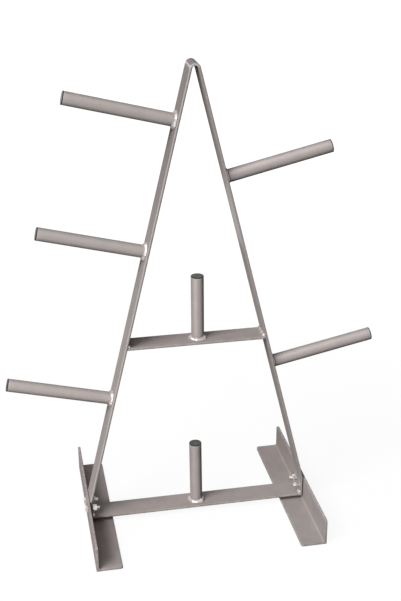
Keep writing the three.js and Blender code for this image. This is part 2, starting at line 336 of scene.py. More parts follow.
def make_piece(name, node, slot, points, faces, wear_and_highlight=0.0, sharp=sharp_angle, drawn=0.0, painted_shade_and_sheen=0.0):
    """A mesh of grid points that stands for one CAD node. The wear given is 0 away from edges,
    about 1 at them and more where paint is worn through or a painted highlight is brightest. drawn
    is 1 on drawn tube, whose smoother steel makes its paint shine more. The painted shade given is
    1 where it is darkest and -1 where a painted sheen is palest."""
    mesh = bpy.data.meshes.new(name)
    placed = points.reshape(-1, 3) + np.array([middle_x, middle_y, 0.0])
    mesh.from_pydata(placed.tolist(), [], faces)
    for label, values in [("edge", wear_and_highlight), ("drawn", drawn), ("painted_shade_and_sheen", painted_shade_and_sheen)]:
        add_attribute(mesh, label, values, points.shape[:-1])
    shell = bmesh.new()
    shell.from_mesh(mesh)
    bmesh.ops.remove_doubles(shell, verts=shell.verts, dist=same_point)
    bmesh.ops.recalc_face_normals(shell, faces=shell.faces)
    shell.to_mesh(mesh)
    shell.free()
    mesh.shade_smooth()
    mesh.set_sharp_from_angle(angle=sharp)
    mesh.materials.append(MATERIALS[slot])
    piece = bpy.data.objects.new(name, mesh)
    bpy.context.scene.collection.objects.link(piece)
    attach(piece, ROOT)
    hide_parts(node)


def flat_bar_loop():
    """A flat bar's section: a rectangle with arcs for corners, as (across, up) points round it,
    with points placed just inside each arc so that the flats stay flat."""
    radius = bar_edge_radius
    half_width = bar_width / 2 - radius
    half_thickness = bar_thickness / 2 - radius
    turn = np.linspace(0, QUARTER_TURN, 5)
    near_arc = half_width - np.array(FLAT_ROWS)
    middle = np.linspace(-near_arc[-1], near_arc[-1], 9)[1:-1]
    flats = np.concatenate([-near_arc, middle, near_arc[::-1]])
    loop = []
    for quarter, (sign_across, sign_up) in enumerate([(1, 1), (-1, 1), (-1, -1), (1, -1)]):
        angle = turn + quarter * QUARTER_TURN
        across = sign_across * half_width + radius * np.cos(angle)
        up = sign_up * half_thickness + radius * np.sin(angle)
        loop.append(np.stack([across, up], axis=-1))
        if quarter == 0:
            loop.append(np.stack([-flats, np.full_like(flats, bar_thickness / 2)], axis=-1))
        if quarter == 2:
            loop.append(np.stack([flats, np.full_like(flats, -bar_thickness / 2)], axis=-1))
    return np.concatenate(loop)


def a_frame_path():
    """The bent bar's outer face, from the right ankle's bottom up and over to the left one's. Each
    bend is centre + radius * (cos, sin) of an angle, and the straights join their ends. Gives the
    points and the outward normals, in X and Z. They lie closer together under the apex bend, where
    the crease's wear fades out."""
    ankle_centre = np.array([ankle_outer - ankle_bend_radius, 0.0])
    ankle_centre[1] = ankle_top - ankle_bend_radius * math.tan(leg_tilt / 2)
    ankle_turn = np.linspace(0, leg_tilt, 9)
    ankle_normals = np.stack([np.cos(ankle_turn), np.sin(ankle_turn)], axis=-1)
    ankle = ankle_centre + ankle_bend_radius * ankle_normals
    apex_turn = np.linspace(leg_tilt, QUARTER_TURN, 25)
    apex_normals = np.stack([np.cos(apex_turn), np.sin(apex_turn)], axis=-1)
    apex = np.array([0.0, apex_centre]) + apex_bend_radius * apex_normals
    near_apex = [0.986, 0.990, 0.994, 0.998]
    share = np.concatenate([np.linspace(0, 1, 51)[1:-1], near_apex])[:, None]
    leg = ankle[-1] + share * (apex[0] - ankle[-1])
    leg_normals = np.repeat(ankle_normals[-1:], len(leg), axis=0)
    foot_heights = ankle_bottom + np.array([0.0, 0.3, 1.0, 3.0, 8.0]) * MM
    shank = np.stack([np.full_like(foot_heights, ankle_outer), foot_heights], axis=-1)
    shank_normals = np.repeat([[1.0, 0.0]], len(shank), axis=0)
    half = np.concatenate([shank, ankle, leg, apex])
    half_normals = np.concatenate([shank_normals, ankle_normals, leg_normals, apex_normals])
    mirror = np.array([-1.0, 1.0])
    points = np.concatenate([half, half[-2::-1] * mirror])
    normals = np.concatenate([half_normals, half_normals[-2::-1] * mirror])
    return points, normals


def on_face(depth):
    """1 on a face of the bent bar, and 0 from part of the way round its edges."""
    return np.clip(1 - depth / face_fade, 0, 1)


def on_front(across):
    """1 on the bent bar's front edge, and 0 from part of the way round its corners."""
    return np.clip(1 - (across + bar_width / 2) / front_fade, 0, 1)


def on_crease(height, normals):
    """1 at the crease on the left leg, falling off as exp(-distance / reach), sharply above it."""
    below = crease_height - height
    reach = np.where(below > 0, crease_fade, crease_edge)
    return np.exp(-np.abs(below) / reach) * (normals[:, :1] < 0)


def a_frame_wear_and_highlights(height, normals, across, depth):
    """The bent bar's wear along its long corners, exp(-distance / reach), with a painted highlight
    along the outer ones, and its painted highlights at the crease and on the front of the apex
    bend, where that grows with the depth under the crown."""
    from_side = bar_width / 2 - np.abs(across)
    outer_corner = outer_corner_wear_and_highlight * np.exp(-(from_side + depth) / wear_reach)
    inner_corner = inner_corner_wear * np.exp(-(from_side + bar_thickness - depth) / wear_reach)
    crease = crease_highlight * on_crease(height, normals) * on_face(depth)
    upturned = np.clip((normals[:, 1:] - bend_front_from) / bend_front_rise, 0, 1)
    bend_front = bend_front_highlight * on_front(across) * upturned * depth / bar_thickness
    return outer_corner + inner_corner + crease + bend_front


def a_frame_painted_shade_and_sheen(height, normals, across, depth):
    """The bent bar's painted shade, on its crown, on the left leg's outer face towards the top and
    in
    the gaps at the ankles, less the painted sheen on the right leg's inner face:
    exp(-(distance / reach) ** 4)."""
    turn = np.arctan2(normals[:, 1:], normals[:, :1])
    crown = 1 - np.clip((np.abs(turn - crown_turn) - crown_reach) / crown_fade, 0, 1)
    crown = crown_shade * crown * (1 - on_front(across))
    rise = np.clip((height - left_shade_from) / (left_shade_full - left_shade_from), 0, 1)
    left_leg = normals[:, :1] < -0.5
    left_leg_shade = left_shade_dark * rise * left_leg * (1 - on_crease(height, normals))
    left_leg_shade = left_leg_shade * np.clip((bar_width / 2 - np.abs(across)) / bar_edge_radius, 0, 1)
    face_shade = on_face(depth) * np.maximum(crown, left_leg_shade)
    at_foot = (height < ankle_top) * np.clip((gap_shade_width - depth) / gap_shade_fade, 0, 1)
    gap_shade = at_foot * np.clip(2 - (across + bar_width / 2) / gap_shade_from_front, 0, 1)
    above = height - sheen_height
    reach = np.where(above > 0, sheen_fade_up, sheen_fade_down)
    painted_sheen = sheen_strength * np.exp(-(above / reach) ** 4) * (normals[:, :1] > 0)
    return np.maximum(face_shade, gap_shade) - painted_sheen * on_face(bar_thickness - depth)


def a_frame_bar():
    """A rounded bar section carried along the A: point = path - depth * normal, and Y across."""
    points, normals = a_frame_path()
    loop = flat_bar_loop()
    across = np.broadcast_to(loop[:, 0], (len(points), len(loop)))
    depth = np.broadcast_to(bar_thickness / 2 - loop[:, 1], across.shape)
    x = points[:, :1] - depth * normals[:, :1]
    z = points[:, 1:] - depth * normals[:, 1:]
    grid = np.stack([x, across, z], axis=-1)
    faces = grid_quads(*across.shape) + end_faces(*across.shape)
    # Its wear with painted highlights, and its painted shade and sheen
    wear_and_highlight = a_frame_wear_and_highlights(points[:, 1:], normals, across, depth)
    painted_shade_and_sheen = a_frame_painted_shade_and_sheen(points[:, 1:], normals, across, depth)
    make_piece("bent_flat_bar", "a_frame_bar", "grey_paint", grid, faces, wear_and_highlight, painted_shade_and_sheen=painted_shade_and_sheen)


def crossbar(name, node, top):
    """A rounded bar section carried from leg to leg, each end sheared to the leg's slope. Its wear,
    which also paints a highlight along its long edges, is exp(-distance / reach) from them."""
    loop = flat_bar_loop()
    height = top - bar_thickness / 2 + loop[:, 1]
    reach = leg_inner(height)
    share = np.concatenate([[-1, -0.99, -0.96], np.linspace(-0.9, 0.9, 19), [0.96, 0.99, 1]])
    x = share[:, None] * reach
    y = np.broadcast_to(loop[:, 0], x.shape)
    z = np.broadcast_to(height, x.shape)
    grid = np.stack([x, y, z], axis=-1)
    faces = grid_quads(*x.shape) + end_faces(*x.shape)
    wear_and_highlight = np.exp(-(bar_width / 2 - np.abs(loop[:, 0])) / wear_reach)
    make_piece(name, node, "grey_paint", grid, faces, wear_and_highlight)


def inset(loop, depth):
    """A closed loop moved in by a depth, along the mean normal of the two sides at each point."""
    ahead = np.roll(loop, -1, axis=0) - loop
    ahead /= np.linalg.norm(ahead, axis=1, keepdims=True)
    behind = np.roll(ahead, 1, axis=0)
    tangent = ahead + behind
    tangent /= np.linalg.norm(tangent, axis=1, keepdims=True)
    corner = np.clip((tangent * ahead).sum(axis=1, keepdims=True), 0.5, 1)
    inward = np.stack([-tangent[:, 1], tangent[:, 0]], axis=-1)
    return loop + depth * inward / corner


def flange(reach, size):
    """The outer and the inner face of one flange at distances from the heel, as (depth, reach)
    points: the inner face leaves the root by an arc and turns into the toe by another."""
    root = flange_thickness + flange_root_radius
    turn = (1 - np.clip(reach / root, 0, 1)) * math.pi / 4
    past_toe = np.clip(reach - (size - flange_toe_radius), 0, flange_toe_radius)
    toe_drop = flange_toe_radius - np.sqrt(flange_toe_radius**2 - past_toe**2)
    in_root = reach < root
    depth = np.where(in_root, root - flange_root_radius * np.cos(turn), flange_thickness - toe_drop)
    along = np.where(in_root, root - flange_root_radius * np.sin(turn), reach)
    outer = np.stack([np.zeros_like(reach), reach], axis=-1)
    return outer, np.stack([depth, along], axis=-1)


def flange_reaches(size):
    """Distances from the heel, closer together round the root and the toe."""
    root = flange_thickness + flange_root_radius
    toe = size - flange_toe_radius * (1 - np.sin(np.linspace(0, QUARTER_TURN, 7)))
    corner = size - flange_corner_radius * (1 - np.sin(np.linspace(0, 1.1, 6)))
    middle = np.linspace(root, size - flange_corner_radius, 8)
    return np.unique(np.concatenate([np.linspace(0, root, 10), middle, corner, toe]).round(9))


def angle_foot(name, node, side):
    """Angle iron: its L section, out along the heel side and back along the root side, carried
    along Y. Each point's reach along its flange sets how far it runs, so that the flanges' far
    corners are round, and the section shrinks by a quarter circle at both sawn ends."""
    up = flange_reaches(flange_height)
    out = flange_reaches(flange_width)
    up_outer, up_inner = flange(up, flange_height)
    out_outer, out_inner = flange(out, flange_width)
    outer = np.concatenate([up_outer[::-1], out_outer[1:, ::-1]])
    inner = np.concatenate([up_inner[::-1], out_inner[1:, ::-1]])
    reach = np.concatenate([up[::-1] - flange_height, out[1:] - flange_width])
    loop = np.concatenate([outer, inner[::-1]])
    to_tip = -np.concatenate([reach, reach[::-1]])
    past = np.clip(flange_corner_radius - to_tip, 0, flange_corner_radius)
    drop = flange_corner_radius - np.sqrt(flange_corner_radius**2 - past**2)
    half = foot_length / 2 - drop

    turn = np.linspace(0, QUARTER_TURN, 4)
    past_edge = np.array([1.5, 4, 10, 30]) * MM
    from_end = np.concatenate([sawn_edge * (1 - np.sin(turn))[::-1], past_edge])
    shrink = sawn_edge * (1 - np.cos(turn))[::-1]
    shrinks = np.concatenate([shrink, np.zeros(len(past_edge))])
    sections = np.stack([inset(loop, amount) for amount in shrinks])
    places = half - from_end[:, None]
    body = np.linspace(-1, 1, 11)[1:-1, None] * places[-1]
    y = np.concatenate([-places, body, places[::-1]])
    body_sections = np.repeat(loop[None], len(body), axis=0)
    section = np.concatenate([sections, body_sections, sections[::-1]])
    x = side * (foot_outer - section[..., 0])
    grid = np.stack([x, y + foot_set_back, section[..., 1]], axis=-1)
    faces = grid_quads(*y.shape) + paired_end_faces(*y.shape)
    wear_and_highlight = np.exp(-np.minimum(to_tip, half - np.abs(y)) / wear_reach)
    make_piece(name, node, "grey_paint", grid, faces, wear_and_highlight)


def direction(angle):
    """The unit vector in the plane of the A that an angle turns from +Z towards +X."""
    return np.array([math.sin(angle), 0.0, math.cos(angle)])


def about_axis(origin, angle, radius, along, turn):
    """Points round an axis: origin + along * axis + radius * (cos(turn) * side + sin(turn) * Y)."""
    radius, along, turn = np.broadcast_arrays(radius, along, turn)
    side = direction(angle + QUARTER_TURN)
    points = origin + along[..., None] * direction(angle)
    points = points + (radius * np.cos(turn))[..., None] * side
    return points + (radius * np.sin(turn))[..., None] * np.array([0.0, 1.0, 0.0])


def full_turn(count):
    """Evenly spaced turns round a full circle, without the last one, which is the first."""
    return np.arange(count) * FULL_TURN / count


def peg_tube(name, node, seat, normal_angle, axis_angle, length):
    """A tube turned about its axis. Its foot is cut by the plane it stands on: there the distance
    along the axis is radius * cos(turn) * tan(lean), less the weld's sink. The wall is closed
    round the mouth and down the bore."""
    outer = peg_diameter / 2
    bore = outer - peg_wall
    lean = axis_angle - normal_angle
    turn = full_turn(tube_steps)
    edge_turn = np.linspace(0, QUARTER_TURN, 5)
    mouth_radius = outer - peg_mouth_edge * (1 - np.cos(edge_turn))
    mouth_along = length - peg_mouth_edge * (1 - np.sin(edge_turn))
    share = np.array([0, 0.02, 0.05, 0.1, 0.2, 0.35, 0.5, 0.65, 0.8, 0.9, 0.96])
    foot = outer * np.cos(turn) * math.tan(lean) - weld_sink
    wall_along = foot + share[:, None] * (length - peg_mouth_edge - foot)
    mouth = np.broadcast_to(mouth_along[:, None], (len(mouth_along), len(turn)))
    bore_foot = bore * np.cos(turn) * math.tan(lean) - weld_sink
    along = np.concatenate([wall_along, mouth, np.full((1, len(turn)), length), bore_foot[None]])
    radius = np.concatenate([np.full(len(share), outer), mouth_radius, [bore, bore]])[:, None]
    grid = about_axis(seat, axis_angle, radius, along, turn)
    wear_and_highlight = np.exp(-(length - along) / tube_wear_reach)
    faces = grid_quads(*along.shape, wrap_rows=True)
    make_piece(name, node, "grey_paint", grid, faces, wear_and_highlight, drawn=1.0)


def end_cap(name, node, seat, axis_angle, mouth):
    """A moulded cap: a profile of (radius, along) turned about the peg's axis, from the middle of
    the hollow plug's roof, down the plug, out under the head, over its round edge and down into
    the shallow dish of its face, whose depth falls as a cosine."""
    head = cap_diameter / 2
    plug = peg_diameter / 2 - peg_wall
    plug_bore = plug - cap_plug_wall
    face = cap_seat_gap + cap_thickness
    edge_turn = np.linspace(0, QUARTER_TURN, 7)
    edge_radius = head - cap_edge_radius * (1 - np.cos(edge_turn))
    edge_along = face - cap_edge_radius * (1 - np.sin(edge_turn))
    rim = head - cap_edge_radius - cap_face_rim
    dish_radius = np.linspace(rim, 0, 12)
    fall = np.clip((rim - dish_radius) / cap_dish_slope, 0, 1)
    dish_along = face - cap_dish_depth * (1 - np.cos(math.pi * fall)) / 2
    start = [0, plug_bore, plug_bore, plug_bore + cap_lip, plug - cap_lip, plug, plug,
             head - cap_lip, head]
    start_along = [0, 0, cap_lip - cap_plug_length, -cap_plug_length, -cap_plug_length,
                   cap_lip - cap_plug_length, 0, 0, cap_lip]
    radius = np.concatenate([start, edge_radius, dish_radius])
    along = np.concatenate([start_along, edge_along, dish_along]) + mouth
    turn = full_turn(tube_steps)
    grid = about_axis(seat, axis_angle, radius[:, None], along[:, None], turn)
    from_edge = np.abs(radius - (head - cap_edge_radius))
    wear_and_highlight = np.exp(-from_edge / cap_wear_reach) * (along > mouth)
    faces = grid_quads(len(radius), len(turn))
    # The rim is painted dark with shade.
    on_rim = np.clip((radius - rim) / cap_rim_fade, 0, 1)
    make_piece(name, node, "cap_plastic", grid, faces, wear_and_highlight[:, None], painted_shade_and_sheen=on_rim[:, None])


def bead_face():
    """A weld's face as shares of its leg: a quadratic curve from the toe (1, 0) to the top (0, 1),
    drawn out towards a corner point. Gives (out, up) points and the share along the face."""
    share = np.linspace(0, 1, bead_face_steps)
    toe = (1 - share[:, None]) ** 2 * np.array([1.0, 0.0])
    bulge = 2 * (share * (1 - share))[:, None] * np.array([weld_bulge_share, weld_bulge_share])
    top = share[:, None] ** 2 * np.array([0.0, 1.0])
    return toe + bulge + top, share


def ripples(run, share, rate, phase):
    """Ripples that lie across a bead as crescents: sharp-backed waves of rate * run along the bead,
    set back by the square of the distance from the bead's middle, and fading out at both toes."""
    bow = ripple_bow * (2 * share - 1) ** 2
    wave = run * rate - bow + phase
    crest = 1 - np.abs(np.sin(wave / 2)) ** ripple_sharpness
    return ripple_height * crest * np.sin(math.pi * share) ** ripple_toe_fade


def swell(run, waves, phase):
    """How a bead's leg swells along its run: 1 + the sum of share * sin(count * run + shift *
    phase) over its slow waves."""
    return 1 + sum(share * np.sin(count * run + shift * phase) for share, count, shift in waves)


def peg_weld(name, node, seat, normal_angle, phase, slimmer):
    """A bead round a peg's foot: its face turned about the square to the plane it stands on. Its
    leg swells round the ring and is slimmer by the share slimmer * (1 + cos(turn)) / 2, which is
    most at turn 0. Ripples stand out of its face."""
    inner = peg_diameter / 2
    turn = full_turn(weld_ring_steps)
    face, share = bead_face()
    leg = peg_weld_leg * swell(turn, PEG_WELD_WAVES, phase)
    leg = leg * (1 - slimmer * (1 + np.cos(turn)) / 2)
    count = round(FULL_TURN * (inner + peg_weld_leg / 2) / ripple_length)
    wave = ripple_slant * ripples(turn, share[:, None], count, phase)
    sunk = np.full_like(leg, -weld_sink)
    out = np.concatenate([face[:, :1] * leg + wave, [sunk, sunk, leg - weld_sink]])
    up = np.concatenate([face[:, 1:] * leg + wave, [leg - weld_sink, sunk, sunk]])
    grid = about_axis(seat, normal_angle, inner + out, up, turn)
    faces = grid_quads(*out.shape, wrap_rows=True)
    # A slimmer bead is painted darker with shade.
    make_piece(name, node, "painted_weld", grid, faces, sharp=weld_sharp_angle,
               painted_shade_and_sheen=slim_weld_shade * slimmer)


def crossbar_weld(name, node, side, top, weld_leg, phase):
    """A bead in the corner above a crossbar's end: its face carried along Y between the bar's
    edges, drawn in by a quarter circle at its start and finish, with its own swell and ripples."""
    tilt = leg_tilt if top > ankle_top else 0.0
    corner = np.array([leg_inner(top), top])
    wall = np.array([-math.sin(tilt), math.cos(tilt)])
    run = np.linspace(-1, 1, bead_steps)
    y = run * (bar_width / 2 - crossbar_weld_inset)
    into_end = np.clip((np.abs(run) - 1 + weld_end_share) / weld_end_share, 0, 1)
    close = np.sqrt(np.clip(1 - into_end**2, weld_end_size**2, 1))
    face, share = bead_face()
    leg = (weld_leg * swell(run, CROSSBAR_WELD_WAVES, phase) * close)[:, None]
    wave = ripples(y[:, None], share[None, :], FULL_TURN / ripple_length, phase)
    wave = ripple_slant * wave * close[:, None]
    sunk = np.full_like(leg, -weld_sink)
    out = np.concatenate([face[:, 0] * leg + wave, sunk, sunk], axis=1)
    up = np.concatenate([face[:, 1] * leg + wave, leg - weld_sink, sunk], axis=1)
    x = corner[0] - out + up * wall[0]
    z = corner[1] + up * wall[1]
    grid = np.stack([side * x, np.broadcast_to(y[:, None], x.shape), z], axis=-1)
    faces = grid_quads(*x.shape) + end_faces(*x.shape)
    make_piece(name, node, "painted_weld", grid, faces, sharp=weld_sharp_angle)


def hex_radius(turn, set_at):
    """The distance of a hexagon's side from its middle: apothem / cos(angle from the flat)."""
    sixth = math.pi / 3
    from_flat = np.mod(turn - set_at + sixth / 2, sixth) - sixth / 2
    return hex_across_flats / 2 / np.cos(from_flat)


def hex_cone(turn, set_at, height):
    """The cone that takes a hexagon's corners off, in rows out from its round flat face. Gives the
    hexagon's sides, the rows' distances from the axis, and how high up a head or nut they lie."""
    side = hex_radius(turn, set_at)
    radius = hex_crown + np.linspace(0, 1, 4)[:, None] * (side - hex_crown)
    return side, radius, height - (radius - hex_crown) * math.tan(hex_crown_slope)


def hex_bolt(name, node, seat, angle, set_at):
    """A bolt along its axis from the seat under its head. The head is a hexagon under a cone, and
    the shank past the nut is a thread: radius = crest - depth * triangle(along / pitch - turn)."""
    turn = full_turn(hex_steps)
    side, cone_radius, cone_height = hex_cone(turn, set_at, bolt_head_height)
    flat = np.ones_like(turn)[None]
    shank = bolt_diameter / 2
    nut_face = flange_thickness + bar_thickness + washer_thickness + nut_height + 4 * seat_gap
    bolt_length = nut_face + bolt_past_nut - seat_gap
    thread_along = np.linspace(nut_face - 2 * thread_pitch, bolt_length, thread_steps)[:, None]
    spot = np.mod(thread_along / thread_pitch - turn / FULL_TURN, 1)
    groove = np.clip(np.abs(2 * spot - 1) * (1 + 2 * thread_flat) - thread_flat, 0, 1)
    thread_radius = shank - thread_depth * (1 - groove)
    chamfer = shank - np.clip(thread_along - (bolt_length - bolt_end_chamfer), 0, None)
    thread_radius = np.minimum(thread_radius, chamfer)
    radius = np.concatenate([0 * flat, hex_crown / 2 * flat, cone_radius, side[None],
                             shank * flat, shank * flat, thread_radius, 0 * flat])
    along = np.concatenate([-bolt_head_height * flat, -bolt_head_height * flat, -cone_height,
                            0 * flat, 0 * flat, thread_along[:1] * flat, thread_along * flat,
                            bolt_length * flat])
    grid = about_axis(seat, angle, radius, along, turn)
    wear_and_highlight = np.exp(-np.abs(radius - side) / fastener_wear_reach)
    make_piece(name, node, "zinc_plate", grid, grid_quads(*radius.shape), wear_and_highlight, hex_sharp_angle)


def hex_nut(name, node, seat, angle, set_at):
    """A nut along the bolt's axis: a hexagon under a cone at both faces, closed round a bore whose
    mouths open by a countersink."""
    turn = full_turn(hex_steps)
    side, cone_radius, cone_height = hex_cone(turn, set_at, nut_height)
    flat = np.ones_like(turn)[None]
    sink = nut_mouth - nut_bore
    radius = np.concatenate([nut_bore * flat, nut_mouth * flat, cone_radius, cone_radius[::-1],
                             nut_mouth * flat, nut_bore * flat])
    along = np.concatenate([sink * flat, 0 * flat, nut_height - cone_height, cone_height[::-1],
                            nut_height * flat, (nut_height - sink) * flat])
    grid = about_axis(seat, angle, radius, along, turn)
    wear_and_highlight = np.exp(-np.abs(radius - side) / fastener_wear_reach)
    faces = grid_quads(*radius.shape, wrap_rows=True)
    make_piece(name, node, "zinc_plate", grid, faces, wear_and_highlight, hex_sharp_angle)


def flat_washer(name, node, seat, angle):
    """A ring whose outer edge is rounded on both faces."""
    outer = washer_diameter / 2
    edge_turn = np.linspace(0, QUARTER_TURN, 4)
    rim = outer - washer_edge * (1 - np.cos(edge_turn))
    rise = washer_edge * (1 - np.sin(edge_turn))
    radius = np.concatenate([[washer_bore], rim[::-1], rim, [washer_bore]])[:, None]
    along = np.concatenate([[0], rise[::-1], washer_thickness - rise, [washer_thickness]])[:, None]
    turn = full_turn(washer_steps)
    grid = about_axis(seat, angle, radius, along, turn)
    faces = grid_quads(len(radius), len(turn), wrap_rows=True)
    wear_and_highlight = np.exp(-(outer - radius) / fastener_wear_reach)
    make_piece(name, node, "zinc_plate", grid, faces, wear_and_highlight)


def feed(tree, socket, term):
    """Gives a socket a number or a colour, or links another node's output to it."""
    if isinstance(term, bpy.types.NodeSocket):
        tree.links.new(term, socket)
    else:
        socket.default_value = term


def calc(tree, operation, *terms):
    """A Math node on sockets or numbers. Gives its output."""
    node = tree.nodes.new("ShaderNodeMath")
    node.operation = operation
    for socket, term in zip(node.inputs, terms):
        feed(tree, socket, term)
    return node.outputs[0]


def blend_colour(tree, share, first, second):
    """A colour that goes from the first to the second as the share goes from 0 to 1."""
    node = tree.nodes.new("ShaderNodeMix")
    node.data_type = "RGBA"
    factor_and_colours = [node.inputs[0], node.inputs[6], node.inputs[7]]
    for socket, term in zip(factor_and_colours, [share, first, second]):
        feed(tree, socket, term)
    return node.outputs[2]


def noise(tree, coordinates, scale, detail, roughness=0.5):
    """Smooth noise on the given coordinates, with about scale features to the metre."""
    node = tree.nodes.new("ShaderNodeTexNoise")
    node.inputs["Detail"].default_value = detail
    node.inputs["Roughness"].default_value = roughness
    feed(tree, node.inputs["Vector"], coordinates)
    feed(tree, node.inputs["Scale"], scale)
    return node.outputs["Fac"]


def spread(tree, value, given, wanted=(0.0, 1.0)):
    """A value whose given range is drawn out to the wanted one, with soft ends."""
    node = tree.nodes.new("ShaderNodeMapRange")
    node.interpolation_type = "SMOOTHSTEP"
    feed(tree, node.inputs["Value"], value)
    node.inputs["From Min"].default_value, node.inputs["From Max"].default_value = given
    node.inputs["To Min"].default_value, node.inputs["To Max"].default_value = wanted
    return node.outputs["Result"]


def new_group(name, inputs, outputs):
    """An empty node group with its named sockets, and its input and output nodes."""
    tree = bpy.data.node_groups.new(name, "ShaderNodeTree")
    for label, kind, value in inputs:
        socket = tree.interface.new_socket(label, in_out="INPUT", socket_type=kind)
        socket.default_value = value
    for label, kind in outputs:
        tree.interface.new_socket(label, in_out="OUTPUT", socket_type=kind)
    return tree, tree.nodes.new("NodeGroupInput"), tree.nodes.new("NodeGroupOutput")


def object_coordinates(tree):
    """The place of each point in its own piece's coordinates."""
    return tree.nodes.new("ShaderNodeTexCoord").outputs["Object"]


def piece_attribute(tree, name):
    """The number that a piece carries at each of its points."""
    node = tree.nodes.new("ShaderNodeAttribute")
    node.attribute_name = name
    return node.outputs["Fac"]


def sprayed_film():
    """Sprayed paint: two close tints that drift into each other, faint cloudiness, a fine speckle
    of pigment, how matt it is, and the orange peel of its surface as a height."""
    tree, given, result = new_group(
        "sprayed_film",
        [("Tint", "NodeSocketColor", PAINT), ("Second tint", "NodeSocketColor", PAINT_DRIFT),
         ("Drift scale", "NodeSocketFloat", 7.0), ("Peel scale", "NodeSocketFloat", 420.0)],
        [("Colour", "NodeSocketColor"), ("Matt", "NodeSocketFloat"), ("Height", "NodeSocketFloat")])
    place = object_coordinates(tree)
    drift = noise(tree, place, given.outputs["Drift scale"], detail=3.0)
    drift = spread(tree, drift, (0.35, 0.65))
    tint = blend_colour(tree, drift, given.outputs["Tint"], given.outputs["Second tint"])
    cloud = noise(tree, place, scale=38.0, detail=4.0, roughness=0.6)
    cloud = spread(tree, cloud, (0.3, 0.7), (0.0, cloud_share))
    clouded = blend_colour(tree, cloud, tint, PAINT_CLOUD)
    pigment = noise(tree, place, scale=1900.0, detail=1.0)
    pigment = spread(tree, pigment, (0.3, 0.75), (0.0, pigment_share))
    colour = blend_colour(tree, pigment, clouded, PAINT_SPECKLE)
    peel = noise(tree, place, given.outputs["Peel scale"], detail=2.0, roughness=0.55)
    grain = noise(tree, place, scale=2600.0, detail=1.0)
    height = calc(tree, "ADD", peel, calc(tree, "MULTIPLY", grain, grain_share))
    matt = noise(tree, place, scale=24.0, detail=3.0, roughness=0.6)
    matt = spread(tree, matt, (0.3, 0.7))
    tree.links.new(colour, result.inputs["Colour"])
    tree.links.new(matt, result.inputs["Matt"])
    tree.links.new(height, result.inputs["Height"])
    return tree


def rubbed_and_highlighted_edges():
    """A mask of rubbed edges, which on painted bars also paints a highlight along them: the piece's
    own edge attribute times the cover, broken up by patches of noise, so that it is seen where
    their sum passes 1."""
    tree, given, result = new_group(
        "rubbed_and_highlighted_edges",
        [("Cover", "NodeSocketFloat", 0.5), ("Patch scale", "NodeSocketFloat", 90.0)],
        [("Mask", "NodeSocketFloat")])
    place = object_coordinates(tree)
    patches = noise(tree, place, given.outputs["Patch scale"], detail=5.0, roughness=0.65)
    wanted = calc(tree, "MULTIPLY", piece_attribute(tree, "edge"), given.outputs["Cover"])
    mask = calc(tree, "ADD", wanted, calc(tree, "SUBTRACT", patches, 1.0))
    tree.links.new(spread(tree, mask, (0.02, 0.12)), result.inputs["Mask"])
    return tree


def place_group(material, group, **values):
    """A node group in a material, with its own values by socket name, underscores for spaces."""
    node = material.node_tree.nodes.new("ShaderNodeGroup")
    node.node_tree = group
    for label, value in values.items():
        node.inputs[label.replace("_", " ")].default_value = value
    return node


def new_material(name):
    """A material, its node tree and its Principled shader."""
    material = bpy.data.materials.new(name)
    material.use_nodes = True
    return material, material.node_tree, material.node_tree.nodes["Principled BSDF"]


def raise_surface(tree, shader, height, distance, strength):
    """Bump from a height, in metres at full height."""
    bump = tree.nodes.new("ShaderNodeBump")
    bump.inputs["Distance"].default_value = distance
    bump.inputs["Strength"].default_value = strength
    tree.links.new(height, bump.inputs["Height"])
    tree.links.new(bump.outputs["Normal"], shader.inputs["Normal"])


